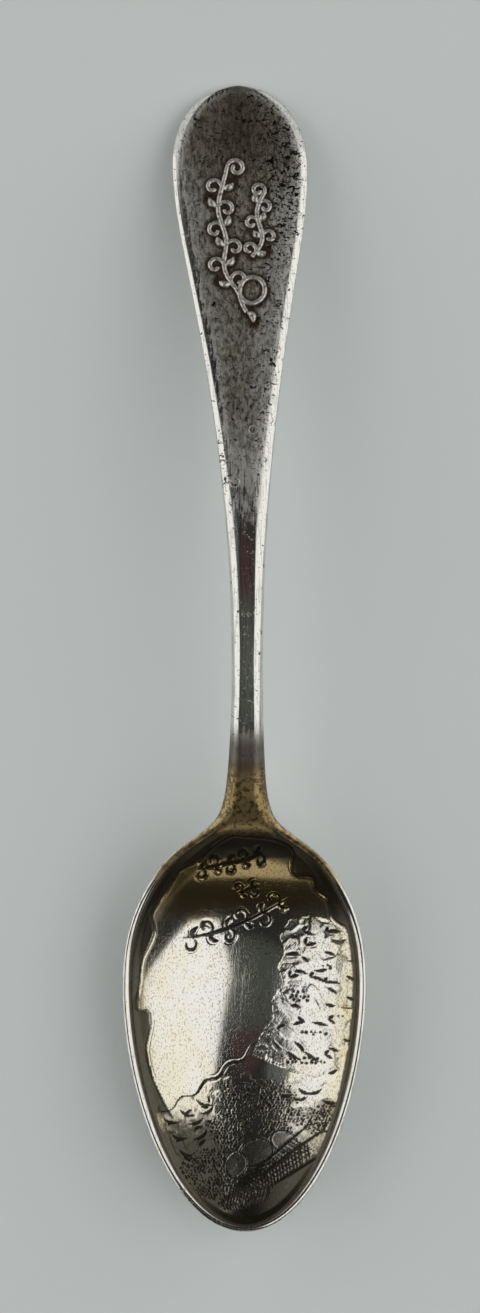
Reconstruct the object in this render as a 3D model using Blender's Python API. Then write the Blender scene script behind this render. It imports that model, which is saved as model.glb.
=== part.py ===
"""A souvenir teaspoon: one struck silver spoon, and the gold wash that lines its bowl.

The spoon lies on its back along Y, the bowl's tip at -Y and the handle's end at +Y, with the
bowl open upwards and the underside of the bowl and the end of the handle on z = 0.
Sizes below are in millimetres. "along" is the distance from the bowl's tip towards the handle's
end, and "across" is the distance from the spoon's middle plane.
"""

import math

import bmesh
import bpy
import numpy as np

MM = 0.001

# The whole spoon.
LENGTH = 146.0
SPOON_NAME = "souvenir_spoon"

# The bowl in plan: an egg, widest nearer its middle than its tip.
BOWL_HALF_WIDTH = 15.45
BOWL_WIDEST = 31.0
BOWL_END = 52.3
TIP_POWER = 1.8
HEEL_POWER = 2.2

# The bowl in section.
BOWL_DEPTH = 7.0
WALL_POWER = 1.25
WALL = 0.85
LIP_RADIUS = 0.4

# The neck, where the bowl's open shell turns into the solid stem.
NECK_START = 49.0
NECK_END = 56.5
HOLLOW_BLEND = 0.09
HOLLOW_BLEND_START = 44.0

# The handle's round end in plan.
END_HALF_WIDTH = 8.62
END_START = 135.5
END_POWER = 2.2

# Half-width of the bowl's shoulders, the stem and the handle: (along, across).
SHOULDERS_AND_HANDLE = [
    (BOWL_WIDEST, BOWL_HALF_WIDTH),
    (36.0, 15.15),
    (41.0, 13.85),
    (45.0, 11.8),
    (48.5, 8.85),
    (50.6, 6.1),
    (52.2, 4.25),
    (54.5, 3.05),
    (59.0, 2.38),
    (66.0, 2.06),
    (73.0, 1.98),
    (84.0, 2.25),
    (97.0, 3.25),
    (110.0, 4.92),
    (122.0, 6.95),
    (130.0, 8.25),
    (END_START, END_HALF_WIDTH),
]

# Height of the middle of the metal, at the rim of the bowl and along the handle: (along, height).
ARCH = [
    (0.0, 8.1),
    (15.0, 7.5),
    (31.0, 7.5),
    (43.0, 8.9),
    (52.0, 11.6),
    (61.0, 14.6),
    (70.0, 16.3),
    (80.0, 16.9),
    (92.0, 16.1),
    (108.0, 12.9),
    (124.0, 8.0),
    (138.0, 3.2),
    (LENGTH, 0.48),
]

# Thickness of the stem and the handle: (along, thickness).
HANDLE_THICKNESS = [
    (NECK_START, 2.75),
    (62.0, 2.7),
    (78.0, 2.4),
    (95.0, 1.9),
    (112.0, 1.4),
    (130.0, 1.2),
    (LENGTH, 1.15),
]

# How far in from the edge the section is rounded, as a share of the half-width: (along, share).
STEM_ROUNDING = [
    (NECK_START, 0.35),
    (NECK_END, 0.75),
    (66.0, 0.62),
    (80.0, 0.62),
    (96.0, 0.85),
    (110.0, 0.5),
    (122.0, 0.36),
    (LENGTH, 0.31),
]

# The heel, where the stem's thickness runs out under the bowl.
HEEL_START = 41.0
HEEL_END = 55.0
HEEL_HALF_WIDTH = 3.4

# The flat that a century of tables has worn on the underside.
WEAR_DEPTH = 0.1

# The gold wash, drawn as a thin skin that lies just clear of the silver, inside a margin of it.
GILDING_GAP = 0.3
GILDING_THICKNESS = 0.15
GILDING_MARGIN = 0.85
GILDING_END = 58.0
GILDING_NECK_SHARE = 0.55

# Facets.
ACROSS_STEPS = 22
GILDING_ACROSS_STEPS = 18
TIP_STEPS = 20
END_STEPS = 12
BOWL_STEP = 1.9
NECK_STEP = 1.0
STEM_STEP = 3.0
NECK_FACETS_START = 45.0
NECK_FACETS_END = 58.0
NORMAL_STEP = 0.02


def curve_through(stations, flat_start=False, flat_end=False):
    """A smooth cubic curve through the stations, level at an end where that is asked for."""
    knots = np.array([station[0] for station in stations])
    values = np.array([station[1] for station in stations])
    gaps = np.diff(knots)
    rises = np.diff(values) / gaps
    count = len(knots)
    system = np.zeros((count, count))
    target = np.zeros(count)
    for i in range(1, count - 1):
        system[i, i - 1 : i + 2] = gaps[i], 2 * (gaps[i - 1] + gaps[i]), gaps[i - 1]
        target[i] = 3 * (gaps[i] * rises[i - 1] + gaps[i - 1] * rises[i])
    system[0, :2] = (1, 0) if flat_start else (2, 1)
    system[-1, -2:] = (0, 1) if flat_end else (1, 2)
    target[0] = 0 if flat_start else 3 * rises[0]
    target[-1] = 0 if flat_end else 3 * rises[-1]
    slopes = np.linalg.solve(system, target)

    def value_at(along):
        i = np.clip(np.searchsorted(knots, along) - 1, 0, count - 2)
        t = (along - knots[i]) / gaps[i]
        return (
            values[i] * (1 + 2 * t) * (1 - t) ** 2
            + values[i + 1] * (3 - 2 * t) * t**2
            + slopes[i] * gaps[i] * t * (1 - t) ** 2
            - slopes[i + 1] * gaps[i] * t**2 * (1 - t)
        )

    return value_at


def ease(value, low, high):
    """0 below low, 1 above high, and a smooth rise between."""
    t = np.clip((value - low) / (high - low), 0, 1)
    return t * t * (3 - 2 * t)


shoulders_and_handle = curve_through(SHOULDERS_AND_HANDLE, flat_start=True, flat_end=True)
arch_height = curve_through(ARCH)
handle_thickness = curve_through(HANDLE_THICKNESS)


def half_width(along):
    """Half the spoon's width: a round tip, the shoulders and the handle, and a round end."""
    tip = np.clip((BOWL_WIDEST - along) / BOWL_WIDEST, 0, 1)
    end = np.clip((along - END_START) / (LENGTH - END_START), 0, 1)
    middle = shoulders_and_handle(np.clip(along, BOWL_WIDEST, END_START))
    width = np.where(along < BOWL_WIDEST, BOWL_HALF_WIDTH * np.sqrt(1 - tip**TIP_POWER), middle)
    return np.where(along > END_START, END_HALF_WIDTH * np.sqrt(1 - end**END_POWER), width)


def outline():
    """Points close together along one side of the spoon, from the tip to the end."""
    turn = np.linspace(0, math.pi / 2, 60)
    along = np.concatenate([
        BOWL_WIDEST * (1 - np.cos(turn)),
        np.arange(BOWL_WIDEST + 0.5, END_START, 0.5),
        END_START + (LENGTH - END_START) * np.sin(turn),
    ])
    return np.stack([half_width(along), along], axis=-1)


OUTLINE = outline()


def edge_distance(along, across):
    """How far a point in plan lies inside the outline."""
    points = np.stack([np.abs(across), along], axis=-1)[..., None, :]
    starts, runs = OUTLINE[:-1], np.diff(OUTLINE, axis=0)
    share = ((points - starts) * runs).sum(-1) / (runs**2).sum(-1)
    nearest = starts + np.clip(share, 0, 1)[..., None] * runs
    return np.sqrt(((points - nearest) ** 2).sum(-1)).min(-1)


def hollow_depth(along, across):
    """How far the bowl dips below its rim, running out smoothly on the neck."""
    run = np.where(along < BOWL_WIDEST, BOWL_WIDEST, BOWL_END - BOWL_WIDEST)
    power = np.where(along < BOWL_WIDEST, TIP_POWER, HEEL_POWER)
    lengthwise = (np.abs(along - BOWL_WIDEST) / run) ** power
    sideways = np.clip(np.abs(across) / np.maximum(half_width(along), 1e-6), 0, 1) ** 2
    level = 1 - (lengthwise + (1 - lengthwise) * sideways) ** WALL_POWER
    blend = HOLLOW_BLEND * ease(along, HOLLOW_BLEND_START, BOWL_END) * (1 - sideways)
    return BOWL_DEPTH * (level + np.sqrt(level**2 + blend**2)) / 2


def middle_surface(along, across):
    """The surface half-way through the metal, as points in millimetres."""
    height = arch_height(along) - hollow_depth(along, across)
    return np.stack([across, along - LENGTH / 2, height], axis=-1)


def middle_normal(along, across):
    """The upward normal of the surface half-way through the metal."""
    near_tip = np.maximum(along - NORMAL_STEP, along / 2)
    near_end = np.minimum(along + NORMAL_STEP, (along + LENGTH) / 2)
    lengthwise = middle_surface(near_end, across) - middle_surface(near_tip, across)
    sideways = middle_surface(along, across + NORMAL_STEP) - middle_surface(along, across - NORMAL_STEP)
    normal = np.cross(sideways, lengthwise)
    return normal / np.linalg.norm(normal, axis=-1, keepdims=True)


def metal_above(along):
    """Metal between the middle surface and the upper face."""
    return WALL / 2 + (handle_thickness(along) - WALL) / 2 * ease(along, NECK_START, NECK_END)


def metal_below(along, across):
    """Metal between the middle surface and the underside, with the heel under the bowl."""
    ridge = np.exp(-((across / HEEL_HALF_WIDTH) ** 2))
    ridge = ridge + (1 - ridge) * ease(along, NECK_START, NECK_END)
    share = ease(along, HEEL_START, HEEL_END) * ridge
    return WALL / 2 + (handle_thickness(np.maximum(along, NECK_START)) - WALL) / 2 * share


def roundness(along, across):
    """0 at the spoon's edge, and 1 where the section has its full thickness."""
    stations = np.array(STEM_ROUNDING)
    share = np.interp(along, stations[:, 0], stations[:, 1])
    stem_radius = np.maximum(share * half_width(along), LIP_RADIUS)
    radius = LIP_RADIUS + (stem_radius - LIP_RADIUS) * ease(along, NECK_START, NECK_END)
    inward = np.clip(edge_distance(along, across) / radius, 0, 1)
    return np.sqrt(1 - (1 - inward) ** 2)


def upper_face(along, across):
    thickness = metal_above(along) * roundness(along, across)
    return middle_surface(along, across) + middle_normal(along, across) * thickness[..., None]


def underside(along, across):
    thickness = metal_below(along, across) * roundness(along, across)
    return middle_surface(along, across) - middle_normal(along, across) * thickness[..., None]


def section_places():
    """Where the cross-sections stand along the spoon, closer together at its round ends and neck."""
    tip = BOWL_WIDEST * (1 - np.cos(np.linspace(0, math.pi / 2, TIP_STEPS + 1)))
    bowl = np.arange(BOWL_WIDEST + BOWL_STEP, NECK_FACETS_START, BOWL_STEP)
    neck = np.arange(NECK_FACETS_START, NECK_FACETS_END, NECK_STEP)
    stem = np.arange(NECK_FACETS_END, END_START, STEM_STEP)
    end = END_START + (LENGTH - END_START) * np.sin(np.linspace(0, math.pi / 2, END_STEPS + 1))
    return np.concatenate([tip, bowl, neck, stem, end])


def bell_spacing(steps):
    """Places from -1 to 1, closer together towards both ends."""
    return np.sin(np.linspace(-math.pi / 2, math.pi / 2, steps + 1))


def table_height():
    """The height of the surface that the worn underside rests on."""
    along = np.arange(1.0, BOWL_END, 0.25)
    return underside(along, np.zeros_like(along))[:, 2].min() + WEAR_DEPTH


def add_sheet(mesh, points):
    """Vertices for a grid of points in millimetres, standing on the table."""
    lift = np.array([0.0, 0.0, table_height()])
    return [[mesh.verts.new((point - lift) * MM) for point in row] for row in points]


def fill_sheet(mesh, rows, upwards):
    """Quads between the rows of a grid."""
    for row, following in zip(rows, rows[1:]):
        for j in range(len(row) - 1):
            corners = [row[j], row[j + 1], following[j + 1], following[j]]
            mesh.faces.new(corners if upwards else corners[::-1])


def finished_object(name, mesh, material, collection):
    """The mesh as an object with its material, smooth except at true corners."""
    data = bpy.data.meshes.new(name)
    mesh.to_mesh(data)
    mesh.free()
    data.shade_smooth()
    data.set_sharp_from_angle(angle=math.radians(50))
    data.materials.append(material)
    item = bpy.data.objects.new(name, data)
    collection.objects.link(item)
    return item


def metal(name, colour, roughness):
    """A polished metal with the colour given."""
    material = bpy.data.materials.new(name)
    material.use_nodes = True
    shader = material.node_tree.nodes["Principled BSDF"]
    shader.inputs["Base Color"].default_value = (*colour, 1.0)
    shader.inputs["Metallic"].default_value = 1.0
    shader.inputs["Roughness"].default_value = roughness
    return material


def silver_material():
    return metal("silver", (0.56, 0.54, 0.50), 0.32)


def gilt_material():
    return metal("gilt", (0.66, 0.56, 0.34), 0.28)


def spoon_body(collection):
    """Bowl, neck, stem and handle: one closed loft of crescent, oval and flat sections."""
    places = section_places()[1:-1]
    along, spread = np.meshgrid(places, bell_spacing(ACROSS_STEPS), indexing="ij")
    across = spread * half_width(along)
    mesh = bmesh.new()
    top = add_sheet(mesh, upper_face(along, across))
    below = add_sheet(mesh, underside(along, across)[:, 1:-1])
    bottom = [[upper[0], *lower, upper[-1]] for upper, lower in zip(top, below)]
    fill_sheet(mesh, top, upwards=True)
    fill_sheet(mesh, bottom, upwards=False)
    poles = add_sheet(mesh, middle_surface(np.array([[0.0], [LENGTH]]), np.zeros((2, 1))))
    tip, end = poles[0][0], poles[1][0]
    for j in range(ACROSS_STEPS):
        mesh.faces.new((tip, top[0][j + 1], top[0][j]))
        mesh.faces.new((tip, bottom[0][j], bottom[0][j + 1]))
        mesh.faces.new((end, top[-1][j], top[-1][j + 1]))
        mesh.faces.new((end, bottom[-1][j + 1], bottom[-1][j]))
    return finished_object("spoon_body", mesh, silver_material(), collection)


def wear_cutter(collection):
    """The table that the underside has been worn flat against."""
    table = (0.04, 0.2, 0.004)
    bpy.ops.mesh.primitive_cube_add(size=1.0, location=(0.0, 0.0, -table[2] / 2), scale=table)
    cutter = bpy.context.object
    cutter.name = "wear_cutter"
    for owner in list(cutter.users_collection):
        owner.objects.unlink(cutter)
    collection.objects.link(cutter)
    cutter.hide_render = True
    cutter.display_type = "WIRE"
    return cutter


def wear_flat(spoon, cutter):
    """Cuts the worn flat on the underside."""
    cut = spoon.modifiers.new("worn_flat", "BOOLEAN")
    cut.operation = "DIFFERENCE"
    cut.solver = "EXACT"
    cut.object = cutter


def gilding_half_width(along):
    """Half the width of the gilding: a margin inside the rim, and narrower on the neck."""
    tip = np.clip((BOWL_WIDEST - along) / (BOWL_WIDEST - GILDING_MARGIN), 0, 1)
    egg = (BOWL_HALF_WIDTH - GILDING_MARGIN) * np.sqrt(1 - tip**TIP_POWER)
    width = half_width(along)
    beyond = np.maximum(width - GILDING_MARGIN, GILDING_NECK_SHARE * width)
    return np.where(along < BOWL_WIDEST, egg, beyond)


def bowl_gilding(collection):
    """The gold wash inside the bowl and up onto the neck, as one thin closed skin."""
    reach = BOWL_WIDEST - GILDING_MARGIN
    places = section_places()
    tip = BOWL_WIDEST - reach * np.cos(np.linspace(0, math.pi / 2, TIP_STEPS + 1))[1:]
    places = np.concatenate([tip, places[(places > BOWL_WIDEST) & (places < GILDING_END)]])
    along, spread = np.meshgrid(places, bell_spacing(GILDING_ACROSS_STEPS), indexing="ij")
    across = spread * gilding_half_width(along)
    normal = middle_normal(along, across)
    silver = upper_face(along, across)
    mesh = bmesh.new()
    bottom = add_sheet(mesh, silver + normal * GILDING_GAP)
    top = add_sheet(mesh, silver + normal * (GILDING_GAP + GILDING_THICKNESS))
    fill_sheet(mesh, top, upwards=True)
    fill_sheet(mesh, bottom, upwards=False)
    fill_sheet(mesh, [bottom[0], top[0]], upwards=True)
    fill_sheet(mesh, [bottom[-1], top[-1]], upwards=False)
    fill_sheet(mesh, [[row[0] for row in top], [row[0] for row in bottom]], upwards=True)
    fill_sheet(mesh, [[row[-1] for row in top], [row[-1] for row in bottom]], upwards=False)
    return finished_object("bowl_gilding", mesh, gilt_material(), collection)


def clear_scene():
    for item in list(bpy.data.objects):
        bpy.data.objects.remove(item, do_unlink=True)


def new_collection(name):
    collection = bpy.data.collections.new(name)
    bpy.context.scene.collection.children.link(collection)
    return collection


def main():
    clear_scene()
    parts = new_collection(SPOON_NAME)
    cutters = new_collection("cutters")
    spoon = spoon_body(parts)
    wear_flat(spoon, wear_cutter(cutters))
    bowl_gilding(parts)


main()
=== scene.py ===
"""The looks of the souvenir spoon: worn, pitted silver, a thin gold wash, and hand engraving.

Shapes are worked out in millimetres, on the same surfaces as the solid model. "along" is the
distance from the bowl's tip towards the handle's end, "across" the distance from the middle plane.
"""

import math

import bpy
import numpy as np
from mathutils import Matrix, Vector


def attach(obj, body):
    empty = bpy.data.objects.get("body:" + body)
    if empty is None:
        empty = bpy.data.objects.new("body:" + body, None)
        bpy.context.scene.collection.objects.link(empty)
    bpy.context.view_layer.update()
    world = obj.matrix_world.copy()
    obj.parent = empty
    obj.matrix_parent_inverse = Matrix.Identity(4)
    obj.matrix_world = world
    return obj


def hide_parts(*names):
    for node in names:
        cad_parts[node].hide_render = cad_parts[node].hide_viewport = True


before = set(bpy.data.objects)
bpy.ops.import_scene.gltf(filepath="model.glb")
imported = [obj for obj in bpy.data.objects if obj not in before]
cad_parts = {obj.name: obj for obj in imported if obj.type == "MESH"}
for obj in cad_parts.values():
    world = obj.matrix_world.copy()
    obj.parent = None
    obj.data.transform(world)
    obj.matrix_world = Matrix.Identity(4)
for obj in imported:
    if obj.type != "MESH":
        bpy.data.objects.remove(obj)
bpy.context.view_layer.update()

MM = 0.001
rng = np.random.default_rng(1893)

# ---------------- the spoon's shape, as in the CAD

LENGTH = 146.0
BOWL_HALF_WIDTH = 15.45
BOWL_WIDEST = 31.0
BOWL_END = 52.3
TIP_POWER = 1.8
HEEL_POWER = 2.2
BOWL_DEPTH = 7.0
WALL_POWER = 1.25
WALL = 0.85
LIP_RADIUS = 0.4
NECK_START = 49.0
NECK_END = 56.5
HOLLOW_BLEND = 0.09
HOLLOW_BLEND_START = 44.0
END_HALF_WIDTH = 8.62
END_START = 135.5
END_POWER = 2.2
SHOULDERS_AND_HANDLE = [
    (BOWL_WIDEST, BOWL_HALF_WIDTH), (36.0, 15.15), (41.0, 13.85), (45.0, 11.8), (48.5, 8.85), (50.6, 6.1),
    (52.2, 4.25), (54.5, 3.05), (59.0, 2.38), (66.0, 2.06), (73.0, 1.98), (84.0, 2.25), (97.0, 3.25),
    (110.0, 4.92), (122.0, 6.95), (130.0, 8.25), (END_START, END_HALF_WIDTH),
]
ARCH = [
    (0.0, 8.1), (15.0, 7.5), (31.0, 7.5), (43.0, 8.9), (52.0, 11.6), (61.0, 14.6), (70.0, 16.3),
    (80.0, 16.9), (92.0, 16.1), (108.0, 12.9), (124.0, 8.0), (138.0, 3.2), (LENGTH, 0.48),
]
HANDLE_THICKNESS = [
    (NECK_START, 2.75), (62.0, 2.7), (78.0, 2.4), (95.0, 1.9), (112.0, 1.4), (130.0, 1.2), (LENGTH, 1.15),
]
STEM_ROUNDING = [
    (NECK_START, 0.35), (NECK_END, 0.75), (66.0, 0.62), (80.0, 0.62), (96.0, 0.85), (110.0, 0.5),
    (122.0, 0.36), (LENGTH, 0.31),
]
HEEL_START = 41.0
HEEL_END = 55.0
HEEL_HALF_WIDTH = 3.4
WEAR_DEPTH = 0.1
GILDING_MARGIN = 0.75
GILDING_END = 58.0
GILDING_NECK_SHARE = 0.62
NORMAL_STEP = 0.02


def curve_through(stations, flat_start=False, flat_end=False):
    """A smooth cubic curve through the stations, level at an end where that is asked for."""
    knots = np.array([station[0] for station in stations])
    values = np.array([station[1] for station in stations])
    gaps = np.diff(knots)
    rises = np.diff(values) / gaps
    count = len(knots)
    system = np.zeros((count, count))
    target = np.zeros(count)
    for i in range(1, count - 1):
        system[i, i - 1 : i + 2] = gaps[i], 2 * (gaps[i - 1] + gaps[i]), gaps[i - 1]
        target[i] = 3 * (gaps[i] * rises[i - 1] + gaps[i - 1] * rises[i])
    system[0, :2] = (1, 0) if flat_start else (2, 1)
    system[-1, -2:] = (0, 1) if flat_end else (1, 2)
    target[0] = 0 if flat_start else 3 * rises[0]
    target[-1] = 0 if flat_end else 3 * rises[-1]
    slopes = np.linalg.solve(system, target)

    def value_at(along):
        i = np.clip(np.searchsorted(knots, along) - 1, 0, count - 2)
        t = (along - knots[i]) / gaps[i]
        return (
            values[i] * (1 + 2 * t) * (1 - t) ** 2
            + values[i + 1] * (3 - 2 * t) * t**2
            + slopes[i] * gaps[i] * t * (1 - t) ** 2
            - slopes[i + 1] * gaps[i] * t**2 * (1 - t)
        )

    return value_at


def ease(value, low, high):
    """0 below low, 1 above high, and a smooth rise between."""
    t = np.clip((value - low) / (high - low), 0, 1)
    return t * t * (3 - 2 * t)


def fade(value, low, high):
    """1 below low, 0 above high, and a smooth fall between."""
    return 1 - ease(value, low, high)


shoulders_and_handle = curve_through(SHOULDERS_AND_HANDLE, flat_start=True, flat_end=True)
arch_height = curve_through(ARCH)
handle_thickness = curve_through(HANDLE_THICKNESS)


def half_width(along):
    tip = np.clip((BOWL_WIDEST - along) / BOWL_WIDEST, 0, 1)
    end = np.clip((along - END_START) / (LENGTH - END_START), 0, 1)
    middle = shoulders_and_handle(np.clip(along, BOWL_WIDEST, END_START))
    width = np.where(along < BOWL_WIDEST, BOWL_HALF_WIDTH * np.sqrt(1 - tip**TIP_POWER), middle)
    return np.where(along > END_START, END_HALF_WIDTH * np.sqrt(1 - end**END_POWER), width)


def places_along(tip_steps, step, end_steps):
    """Places along the whole spoon, closer together at both its round ends."""
    tip = BOWL_WIDEST * (1 - np.cos(np.linspace(0, math.pi / 2, tip_steps + 1)))
    middle = np.arange(BOWL_WIDEST + step, END_START, step)
    end = END_START + (LENGTH - END_START) * np.sin(np.linspace(0, math.pi / 2, end_steps + 1))
    return np.concatenate([tip, middle, end])


def side_line(along):
    return np.stack([half_width(along), along], axis=-1)


OUTLINE = side_line(places_along(59, 0.5, 59))


def nearest_on_line(across, along, line):
    """For each point in plan, its distance to a line of points and where on the line that is, 0 to 1."""
    nearest, place = np.full(np.shape(across), np.inf), np.zeros(np.shape(across))
    for i, (start, stop) in enumerate(zip(line[:-1], line[1:])):
        run = stop - start
        share = ((across - start[0]) * run[0] + (along - start[1]) * run[1]) / max(run @ run, 1e-12)
        share = np.clip(share, 0, 1)
        gap = np.hypot(across - start[0] - share * run[0], along - start[1] - share * run[1])
        place = np.where(gap < nearest, (i + share) / (len(line) - 1), place)
        nearest = np.minimum(nearest, gap)
    return nearest, place


def edge_distance(along, across):
    """How far a point in plan lies inside the outline."""
    return nearest_on_line(np.abs(across), along, OUTLINE)[0]


def hollow_depth(along, across):
    """How far the bowl dips below its rim, running out smoothly on the neck."""
    run = np.where(along < BOWL_WIDEST, BOWL_WIDEST, BOWL_END - BOWL_WIDEST)
    power = np.where(along < BOWL_WIDEST, TIP_POWER, HEEL_POWER)
    lengthwise = (np.abs(along - BOWL_WIDEST) / run) ** power
    sideways = np.clip(np.abs(across) / np.maximum(half_width(along), 1e-6), 0, 1) ** 2
    level = 1 - (lengthwise + (1 - lengthwise) * sideways) ** WALL_POWER
    blend = HOLLOW_BLEND * ease(along, HOLLOW_BLEND_START, BOWL_END) * (1 - sideways)
    return BOWL_DEPTH * (level + np.sqrt(level**2 + blend**2)) / 2


def middle_surface(along, across):
    height = arch_height(along) - hollow_depth(along, across)
    return np.stack([across, along - LENGTH / 2, height], axis=-1)


def middle_normal(along, across):
    near_tip = np.maximum(along - NORMAL_STEP, along / 2)
    near_end = np.minimum(along + NORMAL_STEP, (along + LENGTH) / 2)
    lengthwise = middle_surface(near_end, across) - middle_surface(near_tip, across)
    sideways = middle_surface(along, across + NORMAL_STEP) - middle_surface(along, across - NORMAL_STEP)
    normal = np.cross(sideways, lengthwise)
    return normal / np.linalg.norm(normal, axis=-1, keepdims=True)


def metal_above(along):
    return WALL / 2 + (handle_thickness(along) - WALL) / 2 * ease(along, NECK_START, NECK_END)


def metal_below(along, across):
    ridge = np.exp(-((across / HEEL_HALF_WIDTH) ** 2))
    ridge = ridge + (1 - ridge) * ease(along, NECK_START, NECK_END)
    share = ease(along, HEEL_START, HEEL_END) * ridge
    return WALL / 2 + (handle_thickness(np.maximum(along, NECK_START)) - WALL) / 2 * share


def roundness(along, across):
    """0 at the spoon's edge, and 1 where the section has its full thickness."""
    stations = np.array(STEM_ROUNDING)
    share = np.interp(along, stations[:, 0], stations[:, 1])
    stem_radius = np.maximum(share * half_width(along), LIP_RADIUS)
    radius = LIP_RADIUS + (stem_radius - LIP_RADIUS) * ease(along, NECK_START, NECK_END)
    inward = np.clip(edge_distance(along, across) / radius, 0, 1)
    return np.sqrt(1 - (1 - inward) ** 2)


def underside(along, across):
    thickness = metal_below(along, across) * roundness(along, across)
    return middle_surface(along, across) - middle_normal(along, across) * thickness[..., None]


def table_height():
    along = np.arange(1.0, BOWL_END, 0.25)
    return underside(along, np.zeros_like(along))[:, 2].min() + WEAR_DEPTH


TABLE = np.array([0.0, 0.0, table_height()])


def upper_face(along, across, lift=0.0):
    """A place on the spoon's upper face, or lifted off it by some millimetres."""
    thickness = metal_above(along) * roundness(along, across) + lift
    face = middle_surface(along, across) + middle_normal(along, across) * thickness[..., None]
    return face - TABLE


def bell_spacing(steps):
    """Places from -1 to 1, closer together towards both ends."""
    return np.sin(np.linspace(-math.pi / 2, math.pi / 2, steps + 1))


# ---------------- camera and studio

RIM_HEIGHT = 0.009
CAMERA_PLACE = (-0.0606, 0.0276, 1.10)
CAMERA_TARGET = (-0.0005, 0.0003, RIM_HEIGHT)
CAMERA_ROLL = -0.0037
PICTURE_HEIGHT = 0.16675

# The room's bright and coloured patches. Angles are degrees off overhead, to the right and ahead, towards
# the handle's end. A patch has its centre and half-size, and may have its roundness and softness.
RIGHT_PANE = ((46, 0), (42, 44))
LEFT_PANE = ((-50, 0), (40, 44))
RIGHT_FAR_PANE = ((50, 60), (30, 24))
LEFT_FAR_PANE = ((-46, 60), (30, 24))
CEILING = ((-2, -11), (28, 20), 2.0, 0.8)
WARM_STRIP = ((2, -84), (60, 9))
RED_PATCH = ((0, 8), (11, 6), 2.5, 0.5)
BLUE_PATCH = ((-24, 10), (10, 12), 3.0, 0.5)
# Slanting edges of the two windows: the side they keep, how far they lean ahead, and their offset.
RIGHT_EDGES = [(1, 0.71, 13.0), (1, -0.4, 2.3), (-1, -1.27, -100.0)]
RIGHT_JAMB = (1, 0.0, 27.0)
LEFT_EDGES = [(-1, 0.75, 25.5), (-1, -0.89, 13.0)]
LEFT_JAMB = (-1, 0.0, 34.0)
EDGE_BLUR = 1.2
HORIZON_RISE = (0.01, 0.05)
WINDOW_LEVEL = 1.0
FAR_PANE_LEVEL = 0.62
CEILING_LEVEL = 0.062
WARM_LEVEL = 0.50
RED_LEVEL = 0.050
BLUE_LEVEL = 0.11
HORIZON_LEVEL = 0.42
DARK_LEVEL = 0.022
BACKDROP_LEVEL = 0.46
DAYLIGHT = (1.0, 0.995, 0.975, 1.0)
GREENISH = (0.92, 1.0, 0.90, 1.0)
REDDISH = (1.0, 0.62, 0.56, 1.0)
BLUISH = (0.88, 0.99, 1.0, 1.0)
BACKDROP = (0.955, 1.0, 0.985, 1.0)


def add_to_scene(data):
    item = bpy.data.objects.new(data.name, data)
    bpy.context.scene.collection.objects.link(item)
    return item


def make_camera():
    """Nearly overhead, a few degrees to the left."""
    data = bpy.data.cameras.new("camera")
    camera = add_to_scene(data)
    sight = Vector(CAMERA_TARGET) - Vector(CAMERA_PLACE)
    right = sight.cross(Vector((0.0, 1.0, 0.0))).normalized()
    above = right.cross(sight).normalized()
    aim = Matrix((right, above, -sight.normalized())).transposed() @ Matrix.Rotation(CAMERA_ROLL, 3, "Z")
    camera.location = CAMERA_PLACE
    camera.rotation_euler = aim.to_euler()
    data.sensor_width = 36.0
    data.lens = data.sensor_width * sight.length / PICTURE_HEIGHT
    data.clip_start = 0.01
    data.clip_end = 20.0
    bpy.context.scene.camera = camera


def add_node(tree, kind, inputs=None, **settings):
    """A node with its settings, and its inputs set to values or linked to other nodes' sockets."""
    node = tree.nodes.new("ShaderNode" + kind)
    for name, value in settings.items():
        setattr(node, name, value)
    for name, value in (inputs or {}).items():
        socket = node.inputs[name]
        if isinstance(value, bpy.types.NodeSocket):
            tree.links.new(value, socket)
        else:
            socket.default_value = value
    return node


def maths(tree, operation, first, second=0.0, third=0.0):
    return add_node(tree, "Math", {0: first, 1: second, 2: third}, operation=operation).outputs[0]


def spread(tree, value, low, high, to_low=0.0, to_high=1.0):
    """The value eased from one range to another."""
    return add_node(tree, "MapRange", {
        "Value": value, "From Min": low, "From Max": high, "To Min": to_low, "To Max": to_high,
    }, interpolation_type="SMOOTHSTEP").outputs[0]


def blend_colours(tree, share, first, second):
    mix = add_node(tree, "Mix", {"Factor": share, "A": first, "B": second}, data_type="RGBA")
    return mix.outputs["Result"]


def coat(tree, under, over, amount, low, high, most=1.0):
    """One colour laid over another, from none at the low amount to the most at the high one."""
    return blend_colours(tree, spread(tree, amount, low, high, 0.0, most), under, over)


def oval(tree, aim, centre, half, roundness=4.0, softness=0.12):
    """1 inside a rounded patch of the room and 0 outside: centre and half-size in degrees off overhead."""
    squares = []
    for angle, middle, reach in zip(aim, centre, half):
        offset = maths(tree, "MULTIPLY_ADD", angle, 1 / math.radians(reach), -middle / reach)
        squares.append(maths(tree, "POWER", maths(tree, "ABSOLUTE", offset), roundness))
    return spread(tree, maths(tree, "ADD", *squares), 1 - softness, 1 + softness, 1.0, 0.0)


def beyond_line(tree, aim, side, lean, offset):
    """1 on one side of a slanting edge in the room: past offset degrees out, and more further ahead."""
    right, ahead = aim
    out = maths(tree, "MULTIPLY_ADD", ahead, -lean, maths(tree, "MULTIPLY", right, side))
    return spread(tree, out, math.radians(offset - EDGE_BLUR), math.radians(offset + EDGE_BLUR))


def window(tree, aim, pane, edges, jamb):
    """A bright window of the room. Its inner side slants ahead as far as an upright jamb, and other
    slanting edges cut its corners."""
    inner = maths(tree, "MAXIMUM", beyond_line(tree, aim, *edges[0]), beyond_line(tree, aim, *jamb))
    bright = maths(tree, "MULTIPLY", oval(tree, aim, *pane), inner)
    for edge in edges[1:]:
        bright = maths(tree, "MULTIPLY", bright, beyond_line(tree, aim, *edge))
    return bright


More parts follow.
